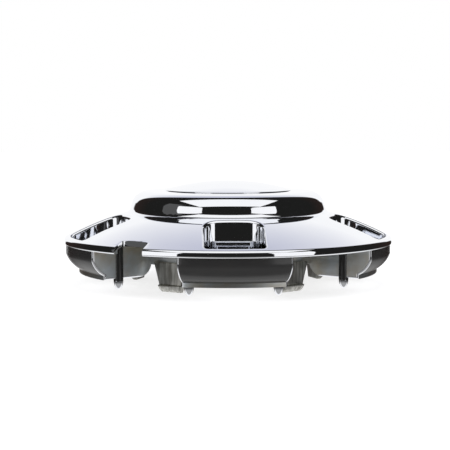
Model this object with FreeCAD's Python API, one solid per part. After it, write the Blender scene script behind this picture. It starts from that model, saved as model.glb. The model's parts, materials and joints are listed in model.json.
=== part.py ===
import FreeCAD
import Part
import math
import os
from FreeCAD import Vector

# Wheel centre cap, moulded in one piece: a crowned dome on a conical flange, with five lug windows,
# and under the flange five wells, ten locating posts and five snap tabs.
# Millimetres. While it is modelled, Z = 0 is the lower edge of the rim and the axis is Z.
# A window faces -Y. The finished cap is lifted so that it stands on its tabs at Z = 0.

# Layout
LUG_COUNT = 5
PITCH = 360.0 / LUG_COUNT
FRONT = -90.0

# Rim and flange
RIM_RADIUS = 88.0
RIM_HEIGHT = 4.4
RIM_CHAMFER = 0.9
WALL = 2.5

# Dome
DOME_FOOT_RADIUS = 53.3
DOME_FOOT_Z = 17.0
DOME_FOOT_ROUND = 4.0
DOME_TOP_RADIUS = 49.9
DOME_TOP_Z = 27.9
DOME_SHOULDER_ROUND = 6.0
LAND_RISE = 1.1
CROWN_RADIUS = 34.2
CROWN_STEP = 0.6
CROWN_RISE = 4.6

# Lug windows, each with a sleeve below it
WINDOW_HALF_WIDTH = 15.4
WINDOW_INNER = 57.0
WINDOW_OUTER = 84.7
WINDOW_INNER_CORNER = 7.2
WINDOW_OUTER_CORNER = 2.5
SLEEVE_WALL = 2.0
SLEEVE_DEPTH = 7.0

# Wells under the windows: a skirt that turns in to a collar, closed by a radial wall at each end
WELL_HALF_ANGLE = 18.0
SKIRT_RADIUS = 87.1
SKIRT_WALL = 2.0
SKIRT_STRAIGHT = 5.4
SKIRT_TURN = 7.0
COLLAR_DEPTH = 15.4
END_WALL = 2.0
END_WALL_DEPTH = 14.6
END_WALL_CORNER = 8.0

# Locating posts on the end walls
POST_CIRCLE_RADIUS = 70.9
POST_RADIUS = 2.5
POST_DEPTH = 20.0
POST_NOSE = 2.2
POST_TIP_RADIUS = 1.0

# Hub ring and snap tabs
HUB_RADIUS = 52.0
HUB_WALL = 2.4
HUB_DEPTH = 8.4
TAB_THICKNESS = 3.0
TAB_PROUD = 1.0
TAB_TOP_DEPTH = 6.4
TAB_TOP_WIDTH = 19.5
TAB_FOOT_WIDTH = 13.5
TAB_FOOT_THICKNESS = 2.2
TAB_DEPTH = 21.6
TAB_TOP_ROUND = 0.9
BARB_REACH = 1.6
BARB_LAND = 1.0
BARB_CATCH = 1.4
BARB_LEAD = 1.8

# Pry notch in the rim, midway between two wells
NOTCH_WIDTH = 17.5
NOTCH_DEPTH = 6.5
NOTCH_CORNER = 1.2

# How far the outer skin lies over the walls that are moulded into it, and how far cuts run past it
SKIN_OVER_WALLS = 0.8
PAST = 5.0

AXIS = Vector(0, 0, 1)
ORIGIN = Vector(0, 0, 0)

COLLAR_RADIUS = SKIRT_RADIUS - SKIRT_TURN
COLLAR_INNER = COLLAR_RADIUS - SKIRT_WALL
WELL_INNER = HUB_RADIUS - HUB_WALL / 2
WELL_END = WELL_HALF_ANGLE + math.degrees(math.asin(END_WALL / 2 / POST_CIRCLE_RADIUS))


def at(radius, z):
    """A point of a radial section, drawn in the XZ plane."""
    return Vector(radius, 0, z)


def line(start, end):
    return Part.LineSegment(start, end).toShape()


def arc(start, middle, end):
    return Part.Arc(start, middle, end).toShape()


def revolved(edges, sweep=360.0):
    """The solid that a closed section makes when it turns about the axis."""
    face = Part.Face(Part.Wire(edges))
    return face.revolve(ORIGIN, AXIS, sweep)


def path(corners):
    """The edges of an open line through (radius, z, round) corners, each rounded by a tangent arc."""
    edges = []
    start = at(*corners[0][:2])
    for number in range(1, len(corners) - 1):
        corner = at(*corners[number][:2])
        back = (at(*corners[number - 1][:2]) - corner).normalize()
        ahead = (at(*corners[number + 1][:2]) - corner).normalize()
        half_angle = back.getAngle(ahead) / 2
        radius = corners[number][2]
        reach = radius / math.tan(half_angle)
        touch = corner + back * reach
        leave = corner + ahead * reach
        middle = corner + (back + ahead).normalize() * (radius / math.sin(half_angle) - radius)
        edges.append(line(start, touch))
        if radius > 0:
            edges.append(arc(touch, middle, leave))
        start = leave
    edges.append(line(start, at(*corners[-1][:2])))
    return edges


def set_in(corners, wall):
    """The same line, from the axis outwards, moved in by a wall, with plain corners."""
    moved = []
    points = [at(*corner[:2]) for corner in corners]
    ways = [(end - start).normalize() for start, end in zip(points, points[1:])]
    for number, point in enumerate(points):
        before = ways[max(number - 1, 0)]
        after = ways[min(number, len(ways) - 1)]
        inward_before = Vector(before.z, 0, -before.x)
        inward_after = Vector(after.z, 0, -after.x)
        spread = 1 + inward_before.dot(inward_after)
        place = point + (inward_before + inward_after) * (wall / spread)
        moved.append((place.x, place.z, 0))
    moved[0] = (0, points[0].z - wall / ways[0].x, 0)
    return moved


def drawn(points):
    """The edges of a closed section with straight sides."""
    ends = points[1:] + points[:1]
    return [line(start, end) for start, end in zip(points, ends)]


def turned(shape, angle):
    copy = shape.copy()
    copy.rotate(ORIGIN, AXIS, angle)
    return copy


def around(shape, first, step=PITCH):
    """Copies of a shape that lies along +X, spread evenly around the axis."""
    count = round(360.0 / step)
    return [turned(shape, first + number * step) for number in range(count)]


def edges_near(shape, wanted):
    """The edges of a shape whose middle passes a test."""
    found = []
    for edge in shape.Edges:
        middle = edge.valueAt((edge.FirstParameter + edge.LastParameter) / 2)
        if wanted(edge, middle):
            found.append(edge)
    return found


def ring_edges(shape, radius, z):
    """The round edges of a turned shape at one radius and height."""
    def on_ring(edge, middle):
        return abs(math.hypot(middle.x, middle.y) - radius) < 0.01 and abs(middle.z - z) < 0.01
    return edges_near(shape, on_ring)


def upright_edges(shape, wanted):
    def upright(edge, middle):
        rise = abs(edge.lastVertex().Z - edge.firstVertex().Z)
        return abs(rise - edge.Length) < 0.001 and wanted(middle)
    return edges_near(shape, upright)


def skin():
    """The outside of the cap below its crown, from the axis over the land, dome and flange to the rim's foot."""
    return [
        (0, DOME_TOP_Z + LAND_RISE, 0),
        (DOME_TOP_RADIUS, DOME_TOP_Z, DOME_SHOULDER_ROUND),
        (DOME_FOOT_RADIUS, DOME_FOOT_Z, DOME_FOOT_ROUND),
        (RIM_RADIUS, RIM_HEIGHT, 0),
        (RIM_RADIUS, 0, 0),
    ]


def filled(corners):
    """The body under a line that runs from the axis out to the rim's foot."""
    top = at(*corners[0][:2])
    foot = at(*corners[-1][:2])
    axis_foot = at(0, foot.z)
    return revolved(path(corners) + [line(foot, axis_foot), line(axis_foot, top)])


def crown():
    """The low crowned disc on top, one step above the land."""
    land_z = DOME_TOP_Z + LAND_RISE * (1 - CROWN_RADIUS / DOME_TOP_RADIUS)
    edge_z = land_z + CROWN_STEP
    apex_z = edge_z + CROWN_RISE
    sphere = (CROWN_RADIUS ** 2 + CROWN_RISE ** 2) / (2 * CROWN_RISE)
    half = CROWN_RADIUS / 2
    middle_z = apex_z - sphere + math.sqrt(sphere ** 2 - half ** 2)
    base_z = land_z - WALL / 2
    section = [
        line(at(0, base_z), at(CROWN_RADIUS, base_z)),
        line(at(CROWN_RADIUS, base_z), at(CROWN_RADIUS, edge_z)),
        arc(at(CROWN_RADIUS, edge_z), at(half, middle_z), at(0, apex_z)),
        line(at(0, apex_z), at(0, base_z)),
    ]
    return revolved(section)


def shell():
    """The skin with one wall thickness under it, and the crown on top."""
    outside = filled(skin())
    outside = outside.makeChamfer(RIM_CHAMFER, ring_edges(outside, RIM_RADIUS, RIM_HEIGHT))
    hollow = filled(set_in(skin()[:-1] + [(RIM_RADIUS, -PAST, 0)], WALL))
    return outside.cut(hollow).fuse(crown())


def window_prism(grow, outer, bottom, top):
    """A window's outline along +X as an upright prism, grown by a wall on three sides."""
    inner = WINDOW_INNER - grow
    half = WINDOW_HALF_WIDTH + grow
    block = Part.makeBox(outer - inner, 2 * half, top - bottom, Vector(inner, -half, bottom))
    prism = block.common(Part.makeCylinder(outer, top - bottom, Vector(0, 0, bottom)))
    near = upright_edges(prism, lambda middle: middle.x < inner + 0.01)
    prism = prism.makeFillet(WINDOW_INNER_CORNER + grow, near)
    far = upright_edges(prism, lambda middle: abs(middle.y) > half - 0.01 and middle.x > outer * 0.9)
    return prism.makeFillet(WINDOW_OUTER_CORNER, far)


def skirt_face():
    """The edges of the skirt's outer face: upright, then a quarter round to the collar."""
    bend = SKIRT_TURN * math.sqrt(0.5)
    start = at(SKIRT_RADIUS, -SKIRT_STRAIGHT)
    middle = at(COLLAR_RADIUS + bend, -SKIRT_STRAIGHT - bend)
    end = at(COLLAR_RADIUS, -SKIRT_STRAIGHT - SKIRT_TURN)
    return [line(at(SKIRT_RADIUS, DOME_TOP_Z), start), arc(start, middle, end)]


def well_block():
    """One well along +X before it is hollowed, with a round inner lower corner."""
    corner = END_WALL_CORNER
    bend = corner * (1 - math.sqrt(0.5))
    corner_side = at(WELL_INNER, corner - END_WALL_DEPTH)
    corner_foot = at(WELL_INNER + corner, -END_WALL_DEPTH)
    section = skirt_face() + [
        line(at(COLLAR_RADIUS, -SKIRT_STRAIGHT - SKIRT_TURN), at(COLLAR_RADIUS, -COLLAR_DEPTH)),
        line(at(COLLAR_RADIUS, -COLLAR_DEPTH), at(COLLAR_INNER, -COLLAR_DEPTH)),
        line(at(COLLAR_INNER, -COLLAR_DEPTH), at(COLLAR_INNER, -END_WALL_DEPTH)),
        line(at(COLLAR_INNER, -END_WALL_DEPTH), corner_foot),
        arc(corner_foot, at(WELL_INNER + bend, bend - END_WALL_DEPTH), corner_side),
        line(corner_side, at(WELL_INNER, DOME_TOP_Z)),
        line(at(WELL_INNER, DOME_TOP_Z), at(SKIRT_RADIUS, DOME_TOP_Z)),
    ]
    return turned(revolved(section, 2 * WELL_END), -WELL_END)


def inside_of_skirts():
    """All the room that the skirts and collars leave inside them, open below, with a chamfer for the quarter round."""
    side = SKIRT_RADIUS - SKIRT_WALL
    turn = SKIRT_TURN - SKIRT_WALL
    reach = turn * math.tan(math.radians(22.5))
    turn_z = -SKIRT_STRAIGHT - turn
    bottom = -COLLAR_DEPTH - PAST
    section = drawn([
        at(0, DOME_TOP_Z),
        at(side, DOME_TOP_Z),
        at(side, -SKIRT_STRAIGHT - reach),
        at(COLLAR_RADIUS + reach, turn_z),
        at(COLLAR_INNER, turn_z),
        at(COLLAR_INNER, bottom),
        at(0, bottom),
    ])
    return revolved(section)


def between_end_walls():
    """The wedge along +X that lies between the end walls of one well."""
    end = math.radians(WELL_END)
    apex = END_WALL / math.sin(end)
    reach = 2 * RIM_RADIUS
    bottom = -COLLAR_DEPTH - PAST
    corners = drawn([
        Vector(apex, 0, bottom),
        Vector(apex + reach * math.cos(end), -reach * math.sin(end), bottom),
        Vector(apex + reach * math.cos(end), reach * math.sin(end), bottom),
    ])
    return Part.Face(Part.Wire(corners)).extrude(Vector(0, 0, DOME_TOP_Z - bottom))


def well(room):
    """One well along +X: its skirt, collar and end walls, with the window's sleeve inside."""
    walls = well_block().cut(room.common(between_end_walls()))
    skirt_middle = SKIRT_RADIUS - SKIRT_WALL / 2
    return walls.fuse(window_prism(SLEEVE_WALL, skirt_middle, -SLEEVE_DEPTH, DOME_TOP_Z))


def post():
    """A locating post along the end wall, with a tapered nose."""
    section = path([
        (POST_RADIUS, DOME_TOP_Z, 0),
        (POST_RADIUS, POST_NOSE - POST_DEPTH, 0),
        (POST_TIP_RADIUS, -POST_DEPTH, 0),
        (0, -POST_DEPTH, 0),
    ])
    section += [
        line(at(0, -POST_DEPTH), at(0, DOME_TOP_Z)),
        line(at(0, DOME_TOP_Z), at(POST_RADIUS, DOME_TOP_Z)),
    ]
    pin = revolved(section)
    pin.translate(Vector(POST_CIRCLE_RADIUS, 0, 0))
    return pin


def snap_tab():
    """A tapered tab along +X with a barb at its foot, standing a little proud of the hub ring."""
    face = HUB_RADIUS + TAB_PROUD
    inner = face - TAB_THICKNESS
    barb = face + BARB_REACH
    lead_z = -TAB_DEPTH + BARB_LEAD
    section = drawn([
        at(inner, -TAB_TOP_DEPTH),
        at(face, -TAB_TOP_DEPTH),
        at(face, lead_z + BARB_LAND + BARB_CATCH),
        at(barb, lead_z + BARB_LAND),
        at(barb, lead_z),
        at(inner + TAB_FOOT_THICKNESS, -TAB_DEPTH),
        at(inner, -TAB_DEPTH),
    ])
    strip = Part.Face(Part.Wire(section)).extrude(Vector(0, TAB_TOP_WIDTH, 0))
    strip.translate(Vector(0, -TAB_TOP_WIDTH / 2, 0))

    def top_front(edge, middle):
        return abs(middle.x - face) < 0.01 and abs(middle.z + TAB_TOP_DEPTH) < 0.01
    strip = strip.makeFillet(TAB_TOP_ROUND, edges_near(strip, top_front))
    top = TAB_TOP_WIDTH / 2
    foot = TAB_FOOT_WIDTH / 2
    taper = drawn([
        Vector(0, -top, -TAB_TOP_DEPTH),
        Vector(0, top, -TAB_TOP_DEPTH),
        Vector(0, foot, -TAB_DEPTH),
        Vector(0, -foot, -TAB_DEPTH),
    ])
    outline = Part.Face(Part.Wire(taper)).extrude(Vector(RIM_RADIUS, 0, 0))
    return strip.common(outline)


def notch():
    """The pry notch along +X, with radial sides and rounded inner corners."""
    inner = RIM_RADIUS - NOTCH_DEPTH
    half = math.degrees(math.asin(NOTCH_WIDTH / 2 / RIM_RADIUS))
    top = DOME_FOOT_Z
    section = drawn([
        at(inner, -PAST),
        at(RIM_RADIUS + PAST, -PAST),
        at(RIM_RADIUS + PAST, top),
        at(inner, top),
    ])
    wedge = turned(revolved(section, 2 * half), -half)
    inside = upright_edges(wedge, lambda middle: math.hypot(middle.x, middle.y) < inner + 0.01)
    return wedge.makeFillet(NOTCH_CORNER, inside)


def hub_ring():
    ring = Part.makeCylinder(HUB_RADIUS, DOME_TOP_Z + HUB_DEPTH, Vector(0, 0, -HUB_DEPTH))
    bore = Part.makeCylinder(HUB_RADIUS - HUB_WALL, DOME_TOP_Z + 2 * HUB_DEPTH, Vector(0, 0, -2 * HUB_DEPTH))
    return ring.cut(bore)


def under_skin():
    """The room for the walls under the flange: inside the outer skin, and free below the rim."""
    core = filled(set_in(skin(), SKIN_OVER_WALLS))
    depth = POST_DEPTH + PAST
    below = Part.makeCylinder(RIM_RADIUS + PAST, depth + RIM_HEIGHT / 2, Vector(0, 0, -depth))
    return core.fuse(below)


def center_cap():
    room = inside_of_skirts()
    posts = around(post(), FRONT + PITCH / 4, PITCH / 2)
    walls = hub_ring().fuse(around(well(room), FRONT) + posts)
    tabs = around(snap_tab(), FRONT + PITCH / 2)
    cap = shell().fuse([under_skin().common(walls)] + tabs)

    window = window_prism(0, WINDOW_OUTER, -COLLAR_DEPTH - PAST, DOME_TOP_Z).common(room)
    cap = cap.cut(around(window, FRONT) + [turned(notch(), FRONT - PITCH / 2)]).removeSplitter()
    cap.translate(Vector(0, 0, TAB_DEPTH))
    return cap


def main():
    os.makedirs("parts", exist_ok=True)
    cap = center_cap()
    print("solids", len(cap.Solids), "valid", cap.isValid(), "volume", round(cap.Volume))
    print("box", cap.BoundBox)
    cap.Solids[0].exportStep("parts/center_cap.step")


if __name__ == "__main__":
    main()
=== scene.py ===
# %% [markdown]
# # A chrome-plated wheel centre cap
# The cap closes the middle of a five-nut wheel. It is one moulding of ABS plastic: a crowned dome on a conical
# flange, five windows for the wheel nuts, and below the flange five wells, ten locating posts and five snap tabs.
# Everything is in metres and in the CAD model's frame: the axis is Z, the cap stands on its tabs at Z = 0, and one
# window faces -Y, towards the camera.

# %% Load the CAD model
import json
import math
import bmesh
import bpy
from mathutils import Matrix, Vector

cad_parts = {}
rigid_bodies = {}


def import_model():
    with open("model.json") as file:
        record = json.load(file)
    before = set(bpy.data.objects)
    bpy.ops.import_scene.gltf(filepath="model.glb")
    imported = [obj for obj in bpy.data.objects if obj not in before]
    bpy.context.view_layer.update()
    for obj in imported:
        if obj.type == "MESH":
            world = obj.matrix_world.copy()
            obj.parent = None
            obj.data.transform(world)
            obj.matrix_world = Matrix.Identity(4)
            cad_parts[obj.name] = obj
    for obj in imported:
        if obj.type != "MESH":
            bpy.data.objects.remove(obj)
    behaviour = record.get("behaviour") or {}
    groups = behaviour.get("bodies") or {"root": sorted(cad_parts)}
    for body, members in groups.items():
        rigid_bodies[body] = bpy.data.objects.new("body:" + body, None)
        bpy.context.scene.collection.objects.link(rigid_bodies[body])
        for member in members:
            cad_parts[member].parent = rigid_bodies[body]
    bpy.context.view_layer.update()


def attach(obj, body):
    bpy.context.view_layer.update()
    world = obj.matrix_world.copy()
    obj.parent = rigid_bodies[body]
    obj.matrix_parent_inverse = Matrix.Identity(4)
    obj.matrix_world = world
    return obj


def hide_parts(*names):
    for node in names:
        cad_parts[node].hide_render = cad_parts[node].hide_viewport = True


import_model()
bpy.ops.object.select_all(action="DESELECT")
scene = bpy.context.scene
scene.view_settings.view_transform = "Standard"

# %% [markdown]
# ## Camera
# The photograph looks at the cap nearly from the side, from a little above and a little left of the front window.
# A camera can be placed by eye or from measured marks. Here the rim's width, its droop at the front and the post
# tips give the distance and the height, and the lens follows from the distance, so that 0.541 mm at the axis is one
# pixel. The camera aims at the middle of the rim's lower edge. In the picture that point is a little right of the
# middle and below it, because the picture was cropped. A lens shift does the same.

# %% Camera
MM = 0.001
RIM_FOOT = 21.6  # mm from the tabs' feet up to the rim's lower edge
PICTURE = 450  # pixels across
PIXEL = 0.541  # mm at the axis
SENSOR = 36.0  # mm
DISTANCE = 684.0  # mm
LOOK_DOWN = math.radians(5.4)
LOOK_ASIDE = math.radians(-2.4)
SHIFT_ASIDE, SHIFT_UP = -3.0, 17.1  # pixels
aim = Vector((0.0, 0.0, RIM_FOOT)) * MM
away = Vector((
    math.sin(LOOK_ASIDE) * math.cos(LOOK_DOWN),
    -math.cos(LOOK_ASIDE) * math.cos(LOOK_DOWN),
    math.sin(LOOK_DOWN),
))
bpy.ops.object.camera_add(location=aim + away * DISTANCE * MM, rotation=away.to_track_quat("Z", "Y").to_euler())
camera = bpy.context.object
camera.data.sensor_width = SENSOR
camera.data.lens = SENSOR * DISTANCE / PIXEL / PICTURE
camera.data.shift_x = SHIFT_ASIDE / PICTURE
camera.data.shift_y = SHIFT_UP / PICTURE
camera.data.clip_start = 0.01
scene.camera = camera
print("lens", round(camera.data.lens, 1), "mm at", DISTANCE, "mm")

# %% [markdown]
# ## Drawing with operators
# A pen is the oldest way to start a turned part: one vertex is extruded along straight runs and spun round arcs, and
# the line that it leaves is turned about the axis. The helpers below are that pen. Sizes are in millimetres, heights
# are measured from the rim's lower edge, as on the CAD drawing.

# %% The pen
LUGS = 5
PITCH = 360.0 / LUGS
FRONT = -90.0
BACK = 90.0
SEAM = 0.002  # mm within which two points are one


def spot(out, across, up, angle=0.0):
    """A point out from the axis, across and up, in millimetres, turned about the axis by an angle in degrees."""
    turn = math.radians(angle)
    x = out * math.cos(turn) - across * math.sin(turn)
    y = out * math.sin(turn) + across * math.cos(turn)
    return Vector((x, y, up + RIM_FOOT)) * MM


def start_piece(name, *finishes):
    """A new piece with its finishes and an empty mesh, in edit mode."""
    bpy.ops.object.select_all(action="DESELECT")
    bpy.ops.mesh.primitive_plane_add(size=MM, location=(0, 0, 0))
    bpy.context.object.name = name
    for finish in finishes:
        bpy.context.object.data.materials.append(finish)
    bpy.ops.object.mode_set(mode="EDIT")
    bpy.ops.mesh.select_mode(type="VERT")
    bpy.ops.mesh.select_all(action="SELECT")
    bpy.ops.mesh.delete(type="VERT")
    return bpy.context.object


def pen_down(point):
    """The first vertex of a new line: a small plane, merged to its middle and moved there."""
    bpy.ops.mesh.select_mode(type="VERT")
    bpy.ops.mesh.select_all(action="DESELECT")
    bpy.ops.mesh.primitive_plane_add(size=MM, location=(0, 0, 0))
    bpy.ops.mesh.merge(type="CENTER")
    bpy.ops.transform.translate(value=point)


def tip():
    """Where the pen is."""
    mesh = bmesh.from_edit_mesh(bpy.context.object.data)
    return next(v.co.copy() for v in mesh.verts if v.select)


def line_to(point, pieces=1):
    """A straight run, in equal pieces."""
    step = (point - tip()) / pieces
    for _ in range(pieces):
        bpy.ops.mesh.extrude_vertices_move(TRANSFORM_OT_translate={"value": step})


def arc_to(centre, point, pieces):
    """An arc of less than half a turn; the spin operator counts its angle clockwise."""
    start, end = tip() - centre, point - centre
    axis = start.cross(end).normalized()
    bpy.ops.mesh.spin(steps=pieces, angle=-start.angle(end), center=centre, axis=axis)


def polygon(points):
    """Straight runs through all the points and back to the first."""
    pen_down(points[0])
    for point in points[1:] + points[:1]:
        line_to(point)


def profile(corners, angle=0.0):
    """A line in a radial section through (radius, height, round, pieces) corners, the pieces those of the round."""
    points = [spot(out, 0, up, angle) for out, up, *_ in corners]
    pen_down(points[0])
    for number in range(1, len(points) - 1):
        corner = points[number]
        back, ahead = points[number - 1] - corner, points[number + 1] - corner
        half = back.angle(ahead) / 2
        rounding = corners[number][2] * MM
        reach = rounding / math.tan(half)
        line_to(corner + back.normalized() * reach)
        centre = corner + (back.normalized() + ahead.normalized()).normalized() * rounding / math.sin(half)
        arc_to(centre, corner + ahead.normalized() * reach, corners[number][3])
    line_to(points[-1])


# %% Work on what is drawn
def pick(kind, test):
    """Selects the vertices, edges or faces whose middle, in millimetres over the rim's lower edge, passes a test."""
    bpy.ops.mesh.select_mode(type=kind)
    bpy.ops.mesh.select_all(action="DESELECT")
    mesh = bmesh.from_edit_mesh(bpy.context.object.data)
    items = {"VERT": mesh.verts, "EDGE": mesh.edges, "FACE": mesh.faces}[kind]
    for item in items:
        points = [item.co] if kind == "VERT" else [v.co for v in item.verts]
        middle = sum(points, Vector()) / len(points) / MM - Vector((0, 0, RIM_FOOT))
        item.select_set(bool(test(middle, item)))
    bmesh.update_edit_mesh(bpy.context.object.data)
    return sum(item.select for item in items)


def turn_round(steps=180):
    """Turns what is drawn about the axis, and closes the seam and the pole."""
    bpy.ops.mesh.select_all(action="SELECT")
    bpy.ops.mesh.spin(steps=steps, angle=math.radians(360), center=(0, 0, 0), axis=(0, 0, 1))
    bpy.ops.mesh.select_all(action="SELECT")
    bpy.ops.mesh.remove_doubles(threshold=SEAM * MM)


def copy_round():
    """Copies what is drawn to the other four lugs."""
    turn = math.radians(PITCH * (LUGS - 1))
    bpy.ops.mesh.select_all(action="SELECT")
    bpy.ops.mesh.spin(dupli=True, steps=LUGS - 1, angle=turn, center=(0, 0, 0), axis=(0, 0, 1))


def fill():
    """Closes a line that ends where it began, and fills it with one face."""
    bpy.ops.mesh.select_all(action="SELECT")
    bpy.ops.mesh.remove_doubles(threshold=SEAM * MM)
    bpy.ops.mesh.edge_face_add()


def face_outward():
    """Turns all the normals outward."""
    bpy.ops.mesh.select_all(action="SELECT")
    bpy.ops.mesh.normals_make_consistent(inside=False)


def soften(width, pieces, clamp=False, finish=-1):
    """Rounds the selected edges; the new faces keep their neighbours' finish, or get the one of that number."""
    bpy.ops.mesh.bevel(
        offset=width * MM, segments=pieces, affect="EDGES", clamp_overlap=clamp, material=finish)


def paint(number):
    """Gives the selected faces the piece's finish of that number."""
    bpy.context.object.active_material_index = number
    bpy.ops.object.material_slot_assign()


def done():
    """Leaves edit mode and says how large the mesh is."""
    bpy.ops.object.mode_set(mode="OBJECT")
    piece = bpy.context.object
    print(piece.name, len(piece.data.polygons), "faces")


def joined(name, pieces):
    """Joins pieces to one object of that name."""
    bpy.ops.object.select_all(action="DESELECT")
    for piece in pieces:
        piece.select_set(True)
    bpy.context.view_layer.objects.active = pieces[0]
    bpy.ops.object.join()
    bpy.context.object.name = name
    return bpy.context.object


# %% [markdown]
# ## Finishes
# The cap is one moulding, but it is plated in part only, and the plating looks different on each side of it, so it
# gets four finishes. Colours are written as sRGB hex and turned to linear by one function, and one function adds
# nodes.

# %% Colours and nodes
FACTOR, FIRST, SECOND, MIXED = 0, 6, 7, 2  # sockets of a Mix node that mixes colours


def linear(code):
    """An sRGB hex colour as linear RGBA."""
    parts = [int(code[i:i + 2], 16) / 255 for i in (1, 3, 5)]
    return [c / 12.92 if c <= 0.04045 else ((c + 0.055) / 1.055) ** 2.4 for c in parts] + [1.0]


def node(tree, kind, settings=None, links=None):
    """Adds a node, sets its properties or sockets, and links sockets to other nodes' outputs."""
    made = tree.nodes.new(kind)
    for key, value in (settings or {}).items():
        if isinstance(key, str) and hasattr(made, key):
            setattr(made, key, value)
        else:
            made.inputs[key].default_value = value
    for key, output in (links or {}).items():
        tree.links.new(output, made.inputs[key])
    return made


def new_finish(name):
    """A new material, its node tree and its shader."""
    finish = bpy.data.materials.new(name)
    finish.use_nodes = True
    return finish, finish.node_tree, finish.node_tree.nodes["Principled BSDF"]


# %% [markdown]
# ## Bright chrome plate
# The outside is decorative chrome: a polished nickel layer with a film of chromium on it, which is bluish white. It
# could be one mirror-like shader, but plating on a moulding is never dead flat: it has a slight orange peel, here in
# waves of about 9 mm, and it is a touch less sharp where polishing left haze. Both are noise on Object coordinates.

# %% Bright chrome plate
bright_chrome, tree, shader = new_finish("bright_chrome_plate")
where = node(tree, "ShaderNodeTexCoord")
haze = node(tree, "ShaderNodeTexNoise", {"Scale": 1 / 0.030, "Detail": 2.0}, {"Vector": where.outputs["Object"]})
tint = node(tree, "ShaderNodeMix", {"data_type": "RGBA", FIRST: linear("#F9FAFD"), SECOND: linear("#F0F2F7")},
            {FACTOR: haze.outputs[0]})
gloss = node(tree, "ShaderNodeMapRange", {"To Min": 0.015, "To Max": 0.05}, {"Value": haze.outputs[0]})
peel = node(tree, "ShaderNodeTexNoise", {"Scale": 1 / 0.009, "Detail": 1.0}, {"Vector": where.outputs["Object"]})
waves = node(tree, "ShaderNodeBump", {"Strength": 0.25, "Distance": 0.00003}, {"Height": peel.outputs[0]})
shader.inputs["Metallic"].default_value = 1.0
tree.links.new(tint.outputs[MIXED], shader.inputs["Base Color"])
tree.links.new(gloss.outputs[0], shader.inputs["Roughness"])
tree.links.new(waves.outputs[0], shader.inputs["Normal"])

# %% [markdown]
# ## Back of the plating
# The back gets the same plating over a mould surface that nobody polished, so it is satin. It shows cloudy tints,
# from bluish to brownish, where the bath reached it more or less, and a fine grain. The grain of the mould is about
# 0.3 mm, too fine for this view, so it is drawn at 0.7 mm.

# %% Satin back plating
satin_back, tree, shader = new_finish("satin_back_plating")
where = node(tree, "ShaderNodeTexCoord")
cloud = node(tree, "ShaderNodeTexNoise", {"Scale": 1 / 0.016, "Detail": 3.0}, {"Vector": where.outputs["Object"]})
edge = node(tree, "ShaderNodeMapRange", {"From Min": 0.35, "From Max": 0.65}, {"Value": cloud.outputs[0]})
tint = node(tree, "ShaderNodeMix", {"data_type": "RGBA", FIRST: linear("#E4EBF0"), SECOND: linear("#CFC7B8")},
            {FACTOR: edge.outputs[0]})
gloss = node(tree, "ShaderNodeMapRange", {"To Min": 0.30, "To Max": 0.46}, {"Value": cloud.outputs[0]})
grain = node(tree, "ShaderNodeTexNoise", {"Scale": 1 / 0.0007, "Detail": 2.0}, {"Vector": where.outputs["Object"]})
tooth = node(tree, "ShaderNodeBump", {"Strength": 0.3, "Distance": 0.00003}, {"Height": grain.outputs[0]})
shader.inputs["Metallic"].default_value = 1.0
tree.links.new(tint.outputs[MIXED], shader.inputs["Base Color"])
tree.links.new(gloss.outputs[0], shader.inputs["Roughness"])
tree.links.new(tooth.outputs[0], shader.inputs["Normal"])

# %% [markdown]
# ## Bare skirts
# The skirts and the posts' shafts are masked in the plating bath and stay bare: charcoal ABS as it leaves the mould.
# It could be a darker metal, but a plastic mirrors only at grazing angles, which is why the skirts are black in
# front and shine at the sides. ABS has an IOR of about 1.53. Clouds of 12 mm in its colour and gloss are the marks
# of the flow.

# %% Bare charcoal ABS
bare_abs, tree, shader = new_finish("bare_charcoal_abs")
where = node(tree, "ShaderNodeTexCoord")
cloud = node(tree, "ShaderNodeTexNoise", {"Scale": 1 / 0.012, "Detail": 3.0}, {"Vector": where.outputs["Object"]})
tint = node(tree, "ShaderNodeMix", {"data_type": "RGBA", FIRST: linear("#2C2C2D"), SECOND: linear("#343331")},
            {FACTOR: cloud.outputs[0]})
gloss = node(tree, "ShaderNodeMapRange", {"To Min": 0.14, "To Max": 0.26}, {"Value": cloud.outputs[0]})
shader.inputs["IOR"].default_value = 1.53
tree.links.new(tint.outputs[MIXED], shader.inputs["Base Color"])
tree.links.new(gloss.outputs[0], shader.inputs["Roughness"])

# %% [markdown]
# ## Streaked tabs
# The mould draws straight off the tabs, which leaves upright streaks about 1 mm wide under the satin plating. They
# could be cut as fine grooves, but the clouds' noise serves as well, stretched along Z by a Mapping node.

# %% Streaked tab plating
streaked_tab, tree, shader = new_finish("streaked_tab_plating")
where = node(tree, "ShaderNodeTexCoord")
drawn = node(tree, "ShaderNodeMapping", {"Scale": (1 / 0.0014, 1 / 0.0014, 1 / 0.014)},
             {"Vector": where.outputs["Object"]})
streak = node(tree, "ShaderNodeTexNoise", {"Scale": 1.0, "Detail": 4.0, "Roughness": 0.6},
              {"Vector": drawn.outputs[0]})
edge = node(tree, "ShaderNodeMapRange", {"From Min": 0.35, "From Max": 0.65}, {"Value": streak.outputs[0]})
tint = node(tree, "ShaderNodeMix", {"data_type": "RGBA", FIRST: linear("#CFCFCA"), SECOND: linear("#8E8C86")},
            {FACTOR: edge.outputs[0]})
gloss = node(tree, "ShaderNodeMapRange", {"To Min": 0.26, "To Max": 0.46}, {"Value": streak.outputs[0]})
furrow = node(tree, "ShaderNodeBump", {"Strength": 0.4, "Distance": 0.00006}, {"Height": streak.outputs[0]})
shader.inputs["Metallic"].default_value = 1.0
tree.links.new(tint.outputs[MIXED], shader.inputs["Base Color"])
tree.links.new(gloss.outputs[0], shader.inputs["Roughness"])
tree.links.new(furrow.outputs[0], shader.inputs["Normal"])
print("finishes", [m.name for m in (bright_chrome, satin_back, bare_abs, streaked_tab)])

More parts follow.
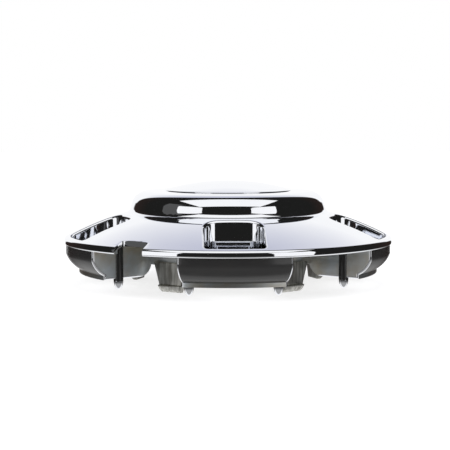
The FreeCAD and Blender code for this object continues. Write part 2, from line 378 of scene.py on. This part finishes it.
# %% [markdown]
# ## Dome and rim
# The dome is a turned form: a nearly flat land, a round shoulder and a wall that leans in by 17 degrees. Its outside
# stops on the wall and its inside at the wall's foot, where the window sections join on. The rim is a narrow upright
# band. Its round top edge and the small bevel at its foot catch the light as two thin white lines. All of it could
# be one turned line, but the flange between dome and rim has windows, so it is made by itself.

# %% Dome and rim
RIM = 88.0
RIM_ROUND = 2.2
RIM_ROUND_UP = 2.141  # height of the round's centre
WALL_JOIN = (52.208, 20.5)
FLANGE_JOIN = (86.9, 4.046)
CORNER_INSIDE = (51.28, 15.07)
RIM_INSIDE = (85.5, 2.647)

dome = start_piece("dome_outside", bright_chrome)
profile([(0, 29.0), (49.9, 27.9, 8.5, 20), WALL_JOIN])
turn_round()
done()

dome_inside = start_piece("dome_inside", satin_back)
profile([(0, 26.5), (48.05, 25.44, 3.5, 8), CORNER_INSIDE])
turn_round()
done()

rim = start_piece("rim", bright_chrome)
pen_down(spot(FLANGE_JOIN[0], 0, FLANGE_JOIN[1]))
arc_to(spot(RIM - RIM_ROUND, 0, RIM_ROUND_UP), spot(RIM, 0, RIM_ROUND_UP), 10)
line_to(spot(RIM, 0, 1.15))
arc_to(spot(87.45, 0, 1.15), spot(87.865, 0, 0.789), 3)
for out, up in ((87.62, 0.51), (87.54, 0.5), (85.7, 0.5), (85.5, 0.7), RIM_INSIDE):
    line_to(spot(out, 0, up))
turn_round()
done()

# %% [markdown]
# ## Flange with its windows
# A hole in a curved mirror shows every uneven face. Cutting it with a Boolean leaves slivers round the hole. So the
# flange is made as five equal sections, each of them a frame of quads: the window's outline and the section's
# outline are drawn flat with the same number of points, bridged, and then projected onto a finely turned form of the
# flange.

# %% Forms to project onto
FORM_START = 0.21  # degrees, so that no point is projected onto a seam
FORM_STEPS = 540


def form(name, corners):
    """A fine turned surface."""
    made = start_piece(name)
    profile(corners, FORM_START)
    turn_round(FORM_STEPS)
    bpy.ops.object.mode_set(mode="OBJECT")
    return made


outer_form = form("outer_form", [
    (51.3, 23.41),
    (53.3, 17.0, 3.0, 24),
    (70.65, 12.2, 150, 30),
    (RIM, 3.5, RIM_ROUND, 24),
    (RIM, 1.2),
])
inner_form = form("inner_form", [(51.0, 15.1716), (85.9, 2.5019)])

# %% One section of the flange
WINDOW_HALF = 15.4
WINDOW_INNER = 56.2
WINDOW_OUTER = 84.7
WINDOW_NEAR_ROUND = 8.2
WINDOW_FAR_ROUND = 2.5


def window_outline(grow, grow_out, up):
    """The lug window's outline on the flat, 124 points, grown by a wall at its sides and at its outer end."""
    half, inner, outer = WINDOW_HALF + grow, WINDOW_INNER - grow, WINDOW_OUTER + grow_out
    near, far = WINDOW_NEAR_ROUND + grow, WINDOW_FAR_ROUND + grow_out
    far_out = math.sqrt((outer - far) ** 2 - (half - far) ** 2)
    spread = outer / (outer - far)
    pen_down(spot(inner, half - near, up, FRONT))
    line_to(spot(inner, near - half, up, FRONT), 16)
    arc_to(spot(inner + near, near - half, up, FRONT), spot(inner + near, -half, up, FRONT), 20)
    line_to(spot(far_out, -half, up, FRONT), 12)
    arc_to(spot(far_out, far - half, up, FRONT), spot(far_out * spread, (far - half) * spread, up, FRONT), 8)
    arc_to(spot(0, 0, up), spot(far_out * spread, (half - far) * spread, up, FRONT), 28)
    arc_to(spot(far_out, half - far, up, FRONT), spot(far_out, half, up, FRONT), 8)
    line_to(spot(inner + near, half, up, FRONT), 12)
    arc_to(spot(inner + near, half - near, up, FRONT), spot(inner, half - near, up, FRONT), 20)


def section_outline(radii):
    """A fifth of the flange on the flat, 124 points, with its rows at the given radii."""
    right, left = FRONT + PITCH / 2, FRONT - PITCH / 2
    pen_down(spot(radii[0], 0, 0, right))
    arc_to(spot(0, 0, 0), spot(radii[0], 0, 0, left), 36)
    for radius in radii[1:]:
        line_to(spot(radius, 0, 0, left))
    arc_to(spot(0, 0, 0), spot(radii[-1], 0, 0, right), 36)
    for radius in radii[-2::-1]:
        line_to(spot(radius, 0, 0, right))


def rows(first, last, count):
    """Equal steps from the first radius, which is left out, to the last."""
    return [first + (last - first) * number / count for number in range(1, count + 1)]


def keep_as(group):
    """Keeps the selected vertices in a new group."""
    bpy.ops.object.vertex_group_add()
    bpy.context.object.vertex_groups.active.name = group
    bpy.ops.object.vertex_group_assign()


def name_outline(group):
    """Closes the outline just drawn and keeps its vertices in a group."""
    bpy.ops.mesh.select_linked()
    bpy.ops.mesh.remove_doubles(threshold=SEAM * MM)
    keep_as(group)
    across = [v.co.x / MM for v in bmesh.from_edit_mesh(bpy.context.object.data).verts if v.select]
    print(group, len(across), "points, across", round(max(across) - min(across), 2), "mm")


def select_groups(*groups):
    """Selects the vertices of these groups and nothing else."""
    bpy.ops.mesh.select_mode(type="VERT")
    bpy.ops.mesh.select_all(action="DESELECT")
    for group in groups:
        bpy.ops.object.vertex_group_set_active(group=group)
        bpy.ops.object.vertex_group_select()


def project_onto(target):
    """Moves the flat drawing up or down onto a form."""
    bpy.ops.object.mode_set(mode="OBJECT")
    bpy.ops.object.modifier_add(type="SHRINKWRAP")
    wrap = bpy.context.object.modifiers[-1]
    wrap.target = target
    wrap.wrap_method = "PROJECT"
    wrap.use_project_z = True
    wrap.use_negative_direction = True
    bpy.ops.object.modifier_apply(modifier=wrap.name)
    bpy.ops.object.mode_set(mode="EDIT")


def sleeve_down(group, foot):
    """Extrudes an outline straight down to the sleeve's foot and flattens it there."""
    select_groups(group)
    bpy.ops.mesh.extrude_region_move(TRANSFORM_OT_translate={"value": (0, 0, -MM)})
    bpy.ops.object.vertex_group_remove_from()
    bpy.ops.transform.resize(value=(1, 1, 0), center_override=spot(0, 0, foot))
    keep_as("sleeve_foot")


# %% Outside of a section
SLEEVE_FOOT = -7.0
BRIDGE_GAP = 5.0  # two outlines are drawn this far apart, because a bridge fails between flat ones
MIDDLE_ROWS = rows(58.0, 82.5, 12)

section = start_piece("flange_section", bright_chrome)
window_outline(-0.75, -0.2, 2 * BRIDGE_GAP)
name_outline("lip")
window_outline(0.9, 1.45, BRIDGE_GAP)
name_outline("ring")
select_groups("lip", "ring")
bpy.ops.mesh.bridge_edge_loops(type="SINGLE")
foot_rows = [WALL_JOIN[0], 52.45, 52.71, 52.95, 53.3, 53.7, 54.15, 54.65, 55.2, 56.2, 58.0]
section_outline(foot_rows + MIDDLE_ROWS + rows(82.5, FLANGE_JOIN[0], 4))
name_outline("edge")
select_groups("ring", "edge")
bpy.ops.mesh.bridge_edge_loops(type="SINGLE", number_cuts=10, interpolation="LINEAR")
project_onto(outer_form)
sleeve_down("lip", SLEEVE_FOOT + BRIDGE_GAP)
done()

# %% Underside of a section
underside = start_piece("flange_underside", satin_back)
window_outline(1.4, 0.5, 2 * BRIDGE_GAP)
name_outline("under_lip")
window_outline(1.55, 0.65, BRIDGE_GAP)
name_outline("under_ring")
select_groups("under_lip", "under_ring")
bpy.ops.mesh.bridge_edge_loops(type="SINGLE")
foot_rows = [CORNER_INSIDE[0]] + rows(CORNER_INSIDE[0], 58.0, 10)
section_outline(foot_rows + MIDDLE_ROWS + rows(82.5, RIM_INSIDE[0], 4))
name_outline("under_edge")
select_groups("under_ring", "under_edge")
bpy.ops.mesh.bridge_edge_loops(type="SINGLE", number_cuts=4, interpolation="LINEAR")
project_onto(inner_form)
sleeve_down("under_lip", SLEEVE_FOOT)
done()

# %% Close the sleeve, round the lip, copy the section
section = joined("flange", [section, underside])
bpy.ops.object.mode_set(mode="EDIT")
select_groups("sleeve_foot")
bpy.ops.mesh.bridge_edge_loops(type="SINGLE")
bpy.ops.transform.resize(value=(1, 1, 0), center_override=spot(0, 0, SLEEVE_FOOT))
select_groups("lip")
soften(1.5, 8)
copy_round()
done()
bpy.ops.object.vertex_group_remove(all=True)

# %% Join the shell
shell = joined("shell", [dome, dome_inside, rim, section])
bpy.ops.object.mode_set(mode="EDIT")
bpy.ops.mesh.select_all(action="SELECT")
bpy.ops.mesh.remove_doubles(threshold=0.02 * MM)
face_outward()
bpy.ops.mesh.select_all(action="DESELECT")
bpy.ops.mesh.select_non_manifold()
print("open edges", sum(e.select for e in bmesh.from_edit_mesh(shell.data).edges))
bpy.ops.object.mode_set(mode="OBJECT")
for made in (outer_form, inner_form):
    bpy.data.objects.remove(made)

# %% [markdown]
# ## Crown
# The low disc on top stands one small step above the land. It could be cut into the dome's line, but there the step
# would be rounded off by the smooth shading. It is turned as a closed body with its foot inside the dome, so the
# step stays a clean thin line.

# %% Crown
CROWN = 34.2
crown = start_piece("crown", bright_chrome)
pen_down(spot(0, 0, 27.0))
for out, up in ((CROWN, 27.0), (CROWN, 28.42), (CROWN - 0.1, 28.6), (CROWN - 0.3, 28.7)):
    line_to(spot(out, 0, up))
arc_to(spot(0, 0, -89.998), spot(0, 0, 33.446), 24)
turn_round()
face_outward()
done()

# %% [markdown]
# ## Wells under the windows
# Below each window a skirt drops from the rim, turns in by a wide round to a collar, and is closed by a radial wall
# at each end. Inside and outside could be drawn one by one. Here a section is drawn, filled and swept, the faces
# that are open on the real part are deleted, and Solidify gives what is left the moulding's wall. The skirt is bare,
# the end walls and the collar are plated, and the end walls' edges, where the metal builds up, are bright.

# %% One well, copied round
WELL_END = 18.81  # degrees from the window's middle
WELL_FOOT = -14.6
WELL_INNER = 50.8
END_ROUND = 8.0
SKIRT, SKIRT_TOP = 87.1, 2.6
COLLAR, COLLAR_TOP = 80.1, -12.4
PLATED, BRIGHT = 1, 2  # numbers of the wells' finishes

wells = start_piece("lug_wells", bare_abs, satin_back, bright_chrome)
start = FRONT - WELL_END
pen_down(spot(SKIRT, 0, SKIRT_TOP, start))
line_to(spot(SKIRT, 0, -4.4, start), 3)
arc_to(spot(74.34, 0, -0.30, start), spot(COLLAR, 0, COLLAR_TOP, start), 10)
line_to(spot(COLLAR, 0, WELL_FOOT, start), 2)
line_to(spot(WELL_INNER + END_ROUND, 0, WELL_FOOT, start))
arc_to(spot(WELL_INNER + END_ROUND, 0, WELL_FOOT + END_ROUND, start),
       spot(WELL_INNER, 0, WELL_FOOT + END_ROUND, start), 8)
line_to(spot(WELL_INNER, 0, 14.0, start))
line_to(spot(SKIRT, 0, SKIRT_TOP, start))
fill()
bpy.ops.mesh.spin(steps=20, angle=math.radians(-2 * WELL_END), center=(0, 0, 0), axis=(0, 0, 1))
bpy.ops.mesh.select_all(action="SELECT")
bpy.ops.mesh.remove_doubles(threshold=SEAM * MM)
face_outward()


def open_side(middle, face):
    """The top, the hub side and the bottom of the well, up to the collar's inner edge."""
    out = math.hypot(middle.x, middle.y)
    return len(face.verts) == 4 and (out < COLLAR - 0.2 or face.normal.z > 0.5)


print("open faces", pick("FACE", open_side))
bpy.ops.mesh.delete(type="FACE")
bpy.ops.object.mode_set(mode="OBJECT")
bpy.ops.object.modifier_add(type="SOLIDIFY")
wall = wells.modifiers[-1]
wall.thickness = 2.0 * MM
wall.offset = -1.0
wall.use_even_offset = True
bpy.ops.object.modifier_apply(modifier=wall.name)
bpy.ops.object.mode_set(mode="EDIT")


def plated(middle, face):
    """The end walls, which look along the rim and not out from the axis, and the collar."""
    along = Vector((-middle.y, middle.x, 0)).normalized()
    return abs(face.normal.dot(along)) > 0.6 or middle.z < COLLAR_TOP - 0.05


def end_edge(middle, edge):
    """The outer and lower edges of the end walls."""
    for vertex in edge.verts:
        turn = math.degrees(math.atan2(vertex.co.y, vertex.co.x)) - FRONT
        if math.hypot(vertex.co.x, vertex.co.y) < 57.0 * MM or abs(abs(turn) - WELL_END) > 0.05:
            return False
    return middle.z < 1.5


print("plated faces", pick("FACE", plated))
paint(PLATED)
print("end edges", pick("EDGE", end_edge))
soften(1.0, 5, finish=BRIGHT)
copy_round()
done()

# %% [markdown]
# ## Locating posts
# Ten round posts stand on the end walls and find their holes in the wheel, so each has a bullet nose. A wide bevel
# on a cylinder gives a blunt nose. Extruding the lower face in steps, each a little narrower, gives the slender one
# here. The shaft is bare like the skirt, and the nose below the well is bright.

# %% One pair of posts, copied round
POST_ANGLE = 18.0  # degrees from the window's middle
POST_CIRCLE = 70.9
POST_RADIUS = 2.5
POST_TOP, NOSE_TOP = 6.0, -15.5
NOSE = ((-16.5, 2.43), (-17.5, 2.23), (-18.4, 1.88), (-19.2, 1.36), (-19.75, 0.8), (-20.0, 0.3))

posts = start_piece("locating_posts", bare_abs, bright_chrome)
for angle in (FRONT - POST_ANGLE, FRONT + POST_ANGLE):
    bpy.ops.mesh.primitive_cylinder_add(
        vertices=32, radius=POST_RADIUS * MM, depth=(POST_TOP - NOSE_TOP) * MM,
        location=spot(POST_CIRCLE, 0, (POST_TOP + NOSE_TOP) / 2, angle))
    low, radius = NOSE_TOP, POST_RADIUS
    pick("FACE", lambda middle, face: abs(middle.z - low) < 0.01)
    for up, narrow in NOSE:
        bpy.ops.mesh.extrude_region_move(TRANSFORM_OT_translate={"value": (0, 0, (up - low) * MM)})
        bpy.ops.transform.resize(
            value=(narrow / radius, narrow / radius, 1), center_override=spot(POST_CIRCLE, 0, up, angle))
        low, radius = up, narrow
print("bright faces", pick("FACE", lambda middle, face: middle.z < NOSE_TOP))
paint(1)
copy_round()
done()

# %% [markdown]
# ## Hub ring and snap tabs
# The tabs hang from a ring inside the wells and spring behind the edge of the wheel's centre opening. A tab could be
# a bent plate. Moulded, it is an extruded section with a barb at its foot, narrowed towards the foot and with soft
# edges all round.

# %% Hub ring
HUB, HUB_BORE, HUB_FOOT = 52.0, 49.6, -8.4
ring = start_piece("hub_ring", satin_back)
hub_section = ((HUB, 18.0), (HUB, HUB_FOOT), (HUB_BORE, HUB_FOOT), (HUB_BORE, 21.0), (50.6, 21.0))
polygon([spot(out, 0, up) for out, up in hub_section])
turn_round()
face_outward()
pick("EDGE", lambda middle, edge: middle.z < HUB_FOOT + 0.1)
soften(0.35, 2)
done()

# %% One tab at the back, copied round
TAB_WIDTH, TAB_FOOT_WIDTH = 21.0, 12.0
TAB_TOP, TAB_FOOT = -6.4, -21.6
TAB_INNER, TAB_OUTER = 50.0, 53.0
tab_section = (
    (TAB_INNER, TAB_TOP), (TAB_OUTER, TAB_TOP), (TAB_OUTER, -11.0), (TAB_OUTER, -17.6),
    (54.5, -18.2), (53.6, -20.3), (52.2, TAB_FOOT), (TAB_INNER, TAB_FOOT),
)
tabs = start_piece("snap_tabs", streaked_tab)
polygon([spot(out, -TAB_WIDTH / 2, up, BACK) for out, up in tab_section])
fill()
bpy.ops.mesh.extrude_region_move(TRANSFORM_OT_translate={"value": (-TAB_WIDTH * MM, 0, 0)})
for height in sorted({up for out, up in tab_section}):
    pick("VERT", lambda middle, vertex: abs(middle.z - height) < 0.01)
    narrow = 1 - (TAB_TOP - height) / (TAB_TOP - TAB_FOOT) * (1 - TAB_FOOT_WIDTH / TAB_WIDTH)
    bpy.ops.transform.resize(value=(narrow, 1, 1), center_override=(0, 0, 0))
face_outward()
pick("EDGE", lambda middle, edge: edge.calc_face_angle(0) > math.radians(20) and middle.z < TAB_TOP + 0.1)
soften(0.4, 3)
copy_round()
done()

# %% [markdown]
# ## Pry notch
# Midway between two wells the rim has a notch for the blade that levers the cap off. It could be drawn into one of
# the sections, but it is the one cut that breaks the five-fold layout, so it is made last, with a Boolean on the
# finished shell.

# %% Pry notch
NOTCH = FRONT - PITCH / 2
NOTCH_BACK, NOTCH_FRONT = 81.5, 95.0
NOTCH_LOW, NOTCH_TALL = -6.0, 24.0
cutter = start_piece("notch_cutter", bright_chrome)
notch_plan = ((NOTCH_BACK, -8.0), (NOTCH_BACK, 8.0), (NOTCH_FRONT, 9.4), (NOTCH_FRONT, -9.4))
polygon([spot(out, across, NOTCH_LOW, NOTCH) for out, across in notch_plan])
fill()
bpy.ops.mesh.extrude_region_move(TRANSFORM_OT_translate={"value": (0, 0, NOTCH_TALL * MM)})
face_outward()


def back_corner(middle, edge):
    """The cutter's two upright edges next to the axis."""
    return math.hypot(middle.x, middle.y) < NOTCH_BACK + 1 and abs(middle.z - NOTCH_LOW - NOTCH_TALL / 2) < 1


pick("EDGE", back_corner)
soften(1.2, 4)
done()
bpy.ops.object.select_all(action="DESELECT")
shell.select_set(True)
bpy.context.view_layer.objects.active = shell
bpy.ops.object.modifier_add(type="BOOLEAN")
cut = shell.modifiers[-1]
cut.object = cutter
cut.operation = "DIFFERENCE"
cut.solver = "EXACT"
bpy.ops.object.modifier_apply(modifier=cut.name)
bpy.data.objects.remove(cutter)


def notch_edge(middle, edge):
    """The edges between the flange's top and the notch's upright faces."""
    if math.hypot(middle.x, middle.y) < NOTCH_BACK - 1.5 or len(edge.link_faces) != 2:
        return False
    turn = math.degrees(math.atan2(middle.y, middle.x)) - NOTCH
    flat, steep = sorted((face.normal.z for face in edge.link_faces), reverse=True)
    return abs(steep) < 0.2 and flat > 0.5 and abs(turn) < 8


bpy.ops.object.mode_set(mode="EDIT")
print("notch edges", pick("EDGE", notch_edge))
soften(0.35, 2, clamp=True)
done()

# %% [markdown]
# ## Studio
# Bright chrome has no colour of its own: what shows is the room. The photograph's room has a white backdrop behind
# and over the cap, a pale table, two softboxes low at the front left and right, a large one above the camera, and
# darkness elsewhere. The backdrop, the table and the darkness could be modelled as walls. They are painted on the
# world by direction, which leaves no walls in the way of the light. The softboxes are lamps.

# %% The room by direction
world = bpy.data.worlds.new("studio")
scene.world = world
world.use_nodes = True
tree = world.node_tree
tree.nodes.clear()
where = node(tree, "ShaderNodeTexCoord")
axes = node(tree, "ShaderNodeSeparateXYZ", links={0: where.outputs["Generated"]})

# The backdrop is a bowed sheet behind the cap that widens upwards.
aside = node(tree, "ShaderNodeMath", {"operation": "ABSOLUTE"}, {0: axes.outputs["X"]})
bow = node(tree, "ShaderNodeMath", {"operation": "POWER", 1: 2.0}, {0: aside.outputs[0]})
reach = node(tree, "ShaderNodeMath", {"operation": "MULTIPLY_ADD", 1: -1.1},
             {0: bow.outputs[0], 2: axes.outputs["Y"]})
behind = node(tree, "ShaderNodeMapRange",
              {"interpolation_type": "SMOOTHSTEP", "From Min": 0.40, "From Max": 0.46},
              {"Value": reach.outputs[0]})
lean = node(tree, "ShaderNodeMath", {"operation": "MULTIPLY_ADD", 1: -0.9},
            {0: axes.outputs["Z"], 2: aside.outputs[0]})
between = node(tree, "ShaderNodeMapRange",
               {"interpolation_type": "SMOOTHSTEP", "From Min": 0.41, "From Max": 0.46,
                "To Min": 1.0, "To Max": 0.0},
               {"Value": lean.outputs[0]})
backdrop = node(tree, "ShaderNodeMath", {"operation": "MULTIPLY"}, {0: behind.outputs[0], 1: between.outputs[0]})

# The table lies below, and is darker in front of the cap.
below = node(tree, "ShaderNodeMapRange",
             {"interpolation_type": "SMOOTHSTEP", "From Min": -0.60, "From Max": -0.15,
              "To Min": 1.0, "To Max": 0.0},
             {"Value": axes.outputs["Z"]})
beside = node(tree, "ShaderNodeMapRange",
              {"interpolation_type": "SMOOTHSTEP", "From Min": -0.20, "From Max": 0.0, "To Min": 0.35},
              {"Value": axes.outputs["Y"]})
table = node(tree, "ShaderNodeMath", {"operation": "MULTIPLY"}, {0: below.outputs[0], 1: beside.outputs[0]})
light = node(tree, "ShaderNodeMath", {"operation": "MAXIMUM"}, {0: backdrop.outputs[0], 1: table.outputs[0]})

# %% Its colours
# Mirrors see the room, the camera sees white, and all other light is an even pale grey.
fade = node(tree, "ShaderNodeMapRange", {"From Min": 0.45, "From Max": 0.85}, {"Value": axes.outputs["Z"]})
white = node(tree, "ShaderNodeMix", {"data_type": "RGBA", FIRST: linear("#FFFFFF"), SECOND: linear("#C8CAD9")},
             {FACTOR: fade.outputs[0]})
far = node(tree, "ShaderNodeMapRange", {"From Min": 0.4, "From Max": 0.95}, {"Value": axes.outputs["Y"]})
dark = node(tree, "ShaderNodeMix", {"data_type": "RGBA", FIRST: linear("#1E1E1D"), SECOND: linear("#2F2421")},
            {FACTOR: far.outputs[0]})
room = node(tree, "ShaderNodeMix", {"data_type": "RGBA"},
            {FACTOR: light.outputs[0], FIRST: dark.outputs[MIXED], SECOND: white.outputs[MIXED]})
path = node(tree, "ShaderNodeLightPath")
shown = node(tree, "ShaderNodeMix", {"data_type": "RGBA", FIRST: linear("#E6E6EA")},
             {FACTOR: path.outputs["Is Glossy Ray"], SECOND: room.outputs[MIXED]})
seen = node(tree, "ShaderNodeMix", {"data_type": "RGBA", SECOND: linear("#FFFFFF")},
            {FACTOR: path.outputs["Is Camera Ray"], FIRST: shown.outputs[MIXED]})
sky = node(tree, "ShaderNodeBackground", {"Strength": 1.0}, {"Color": seen.outputs[MIXED]})
node(tree, "ShaderNodeOutputWorld", links={"Surface": sky.outputs[0]})
print("world", len(tree.nodes), "nodes")

# %% [markdown]
# ## Softboxes
# A softbox is an evenly lit sheet of cloth, so each is a rectangular area lamp, as bright as the backdrop. They could
# be glowing planes, but lamps give less noise. The left box has a dim screen beside it, which shows in the dome as a
# grey patch. The power follows from the brightness and the size.

# %% Softboxes
TOP_FACING = Vector((0, -0.302, 0.953))  # the top box doesn't face the cap squarely
# Each has a name, its place (azimuth from the front, elevation, distance in metres), its size and its brightness.
for name, azimuth, rise, away_by, wide, tall, bright in (
        ("left_softbox", -50.1, 10.5, 1.5, 0.79, 1.20, 1.0),
        ("left_screen", -75.0, 14.0, 1.5, 0.58, 1.45, 0.075),
        ("right_softbox", 42.1, 10.5, 1.5, 0.79, 1.20, 1.0),
        ("top_softbox", 0.0, 65.8, 0.772, 1.08, 0.769, 1.0)):
    turn, lift = math.radians(azimuth), math.radians(rise)
    towards = Vector((math.sin(turn) * math.cos(lift), -math.cos(turn) * math.cos(lift), math.sin(lift)))
    facing = TOP_FACING if name == "top_softbox" else towards
    bpy.ops.object.light_add(
        type="AREA", location=towards * away_by, rotation=facing.to_track_quat("Z", "Y").to_euler())
    lamp = bpy.context.object
    lamp.name = name
    lamp.data.shape = "RECTANGLE"
    lamp.data.size = wide
    lamp.data.size_y = tall
    lamp.data.energy = bright * math.pi * wide * tall
    print(name, round(lamp.data.energy, 2), "W")

# %% [markdown]
# ## Floor
# The table is white paper that runs into the backdrop without an edge. Leaving it out would let the cap float, so a
# plane a hair under the tabs keeps the shadow. It glows for the camera, which makes it as white as the backdrop, and
# mirrors don't see it, because the room's table is painted on the world.

# %% Floor
bpy.ops.mesh.primitive_plane_add(size=6.0, location=(0, 0, -0.2 * MM))
floor = bpy.context.object
floor.name = "floor"
pale, tree, shader = new_finish("pale_floor")
shader.inputs["Base Color"].default_value = linear("#B4B4B4")
shader.inputs["Roughness"].default_value = 0.9
glow = node(tree, "ShaderNodeEmission", {"Color": linear("#FFFFFF"), "Strength": 0.74})
path = node(tree, "ShaderNodeLightPath")
both = node(tree, "ShaderNodeAddShader", links={0: shader.outputs[0], 1: glow.outputs[0]})
mixed = node(tree, "ShaderNodeMixShader",
             links={0: path.outputs["Is Camera Ray"], 1: shader.outputs[0], 2: both.outputs[0]})
tree.links.new(mixed.outputs[0], tree.nodes["Material Output"].inputs["Surface"])
floor.data.materials.append(pale)
floor.visible_glossy = False

# %% [markdown]
# ## Hand over
# The real cap is one moulding, so the pieces are joined to one object, which stands for the CAD model's one node.

# %% Finish
cap = joined("center_cap_moulding", [shell, crown, wells, posts, ring, tabs])
bpy.ops.object.shade_smooth_by_angle(angle=math.radians(35))
triangles = sum(len(face.vertices) - 2 for face in cap.data.polygons)
print(cap.name, triangles, "triangles", [m.name for m in cap.data.materials])
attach(cap, "root")
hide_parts("center_cap")
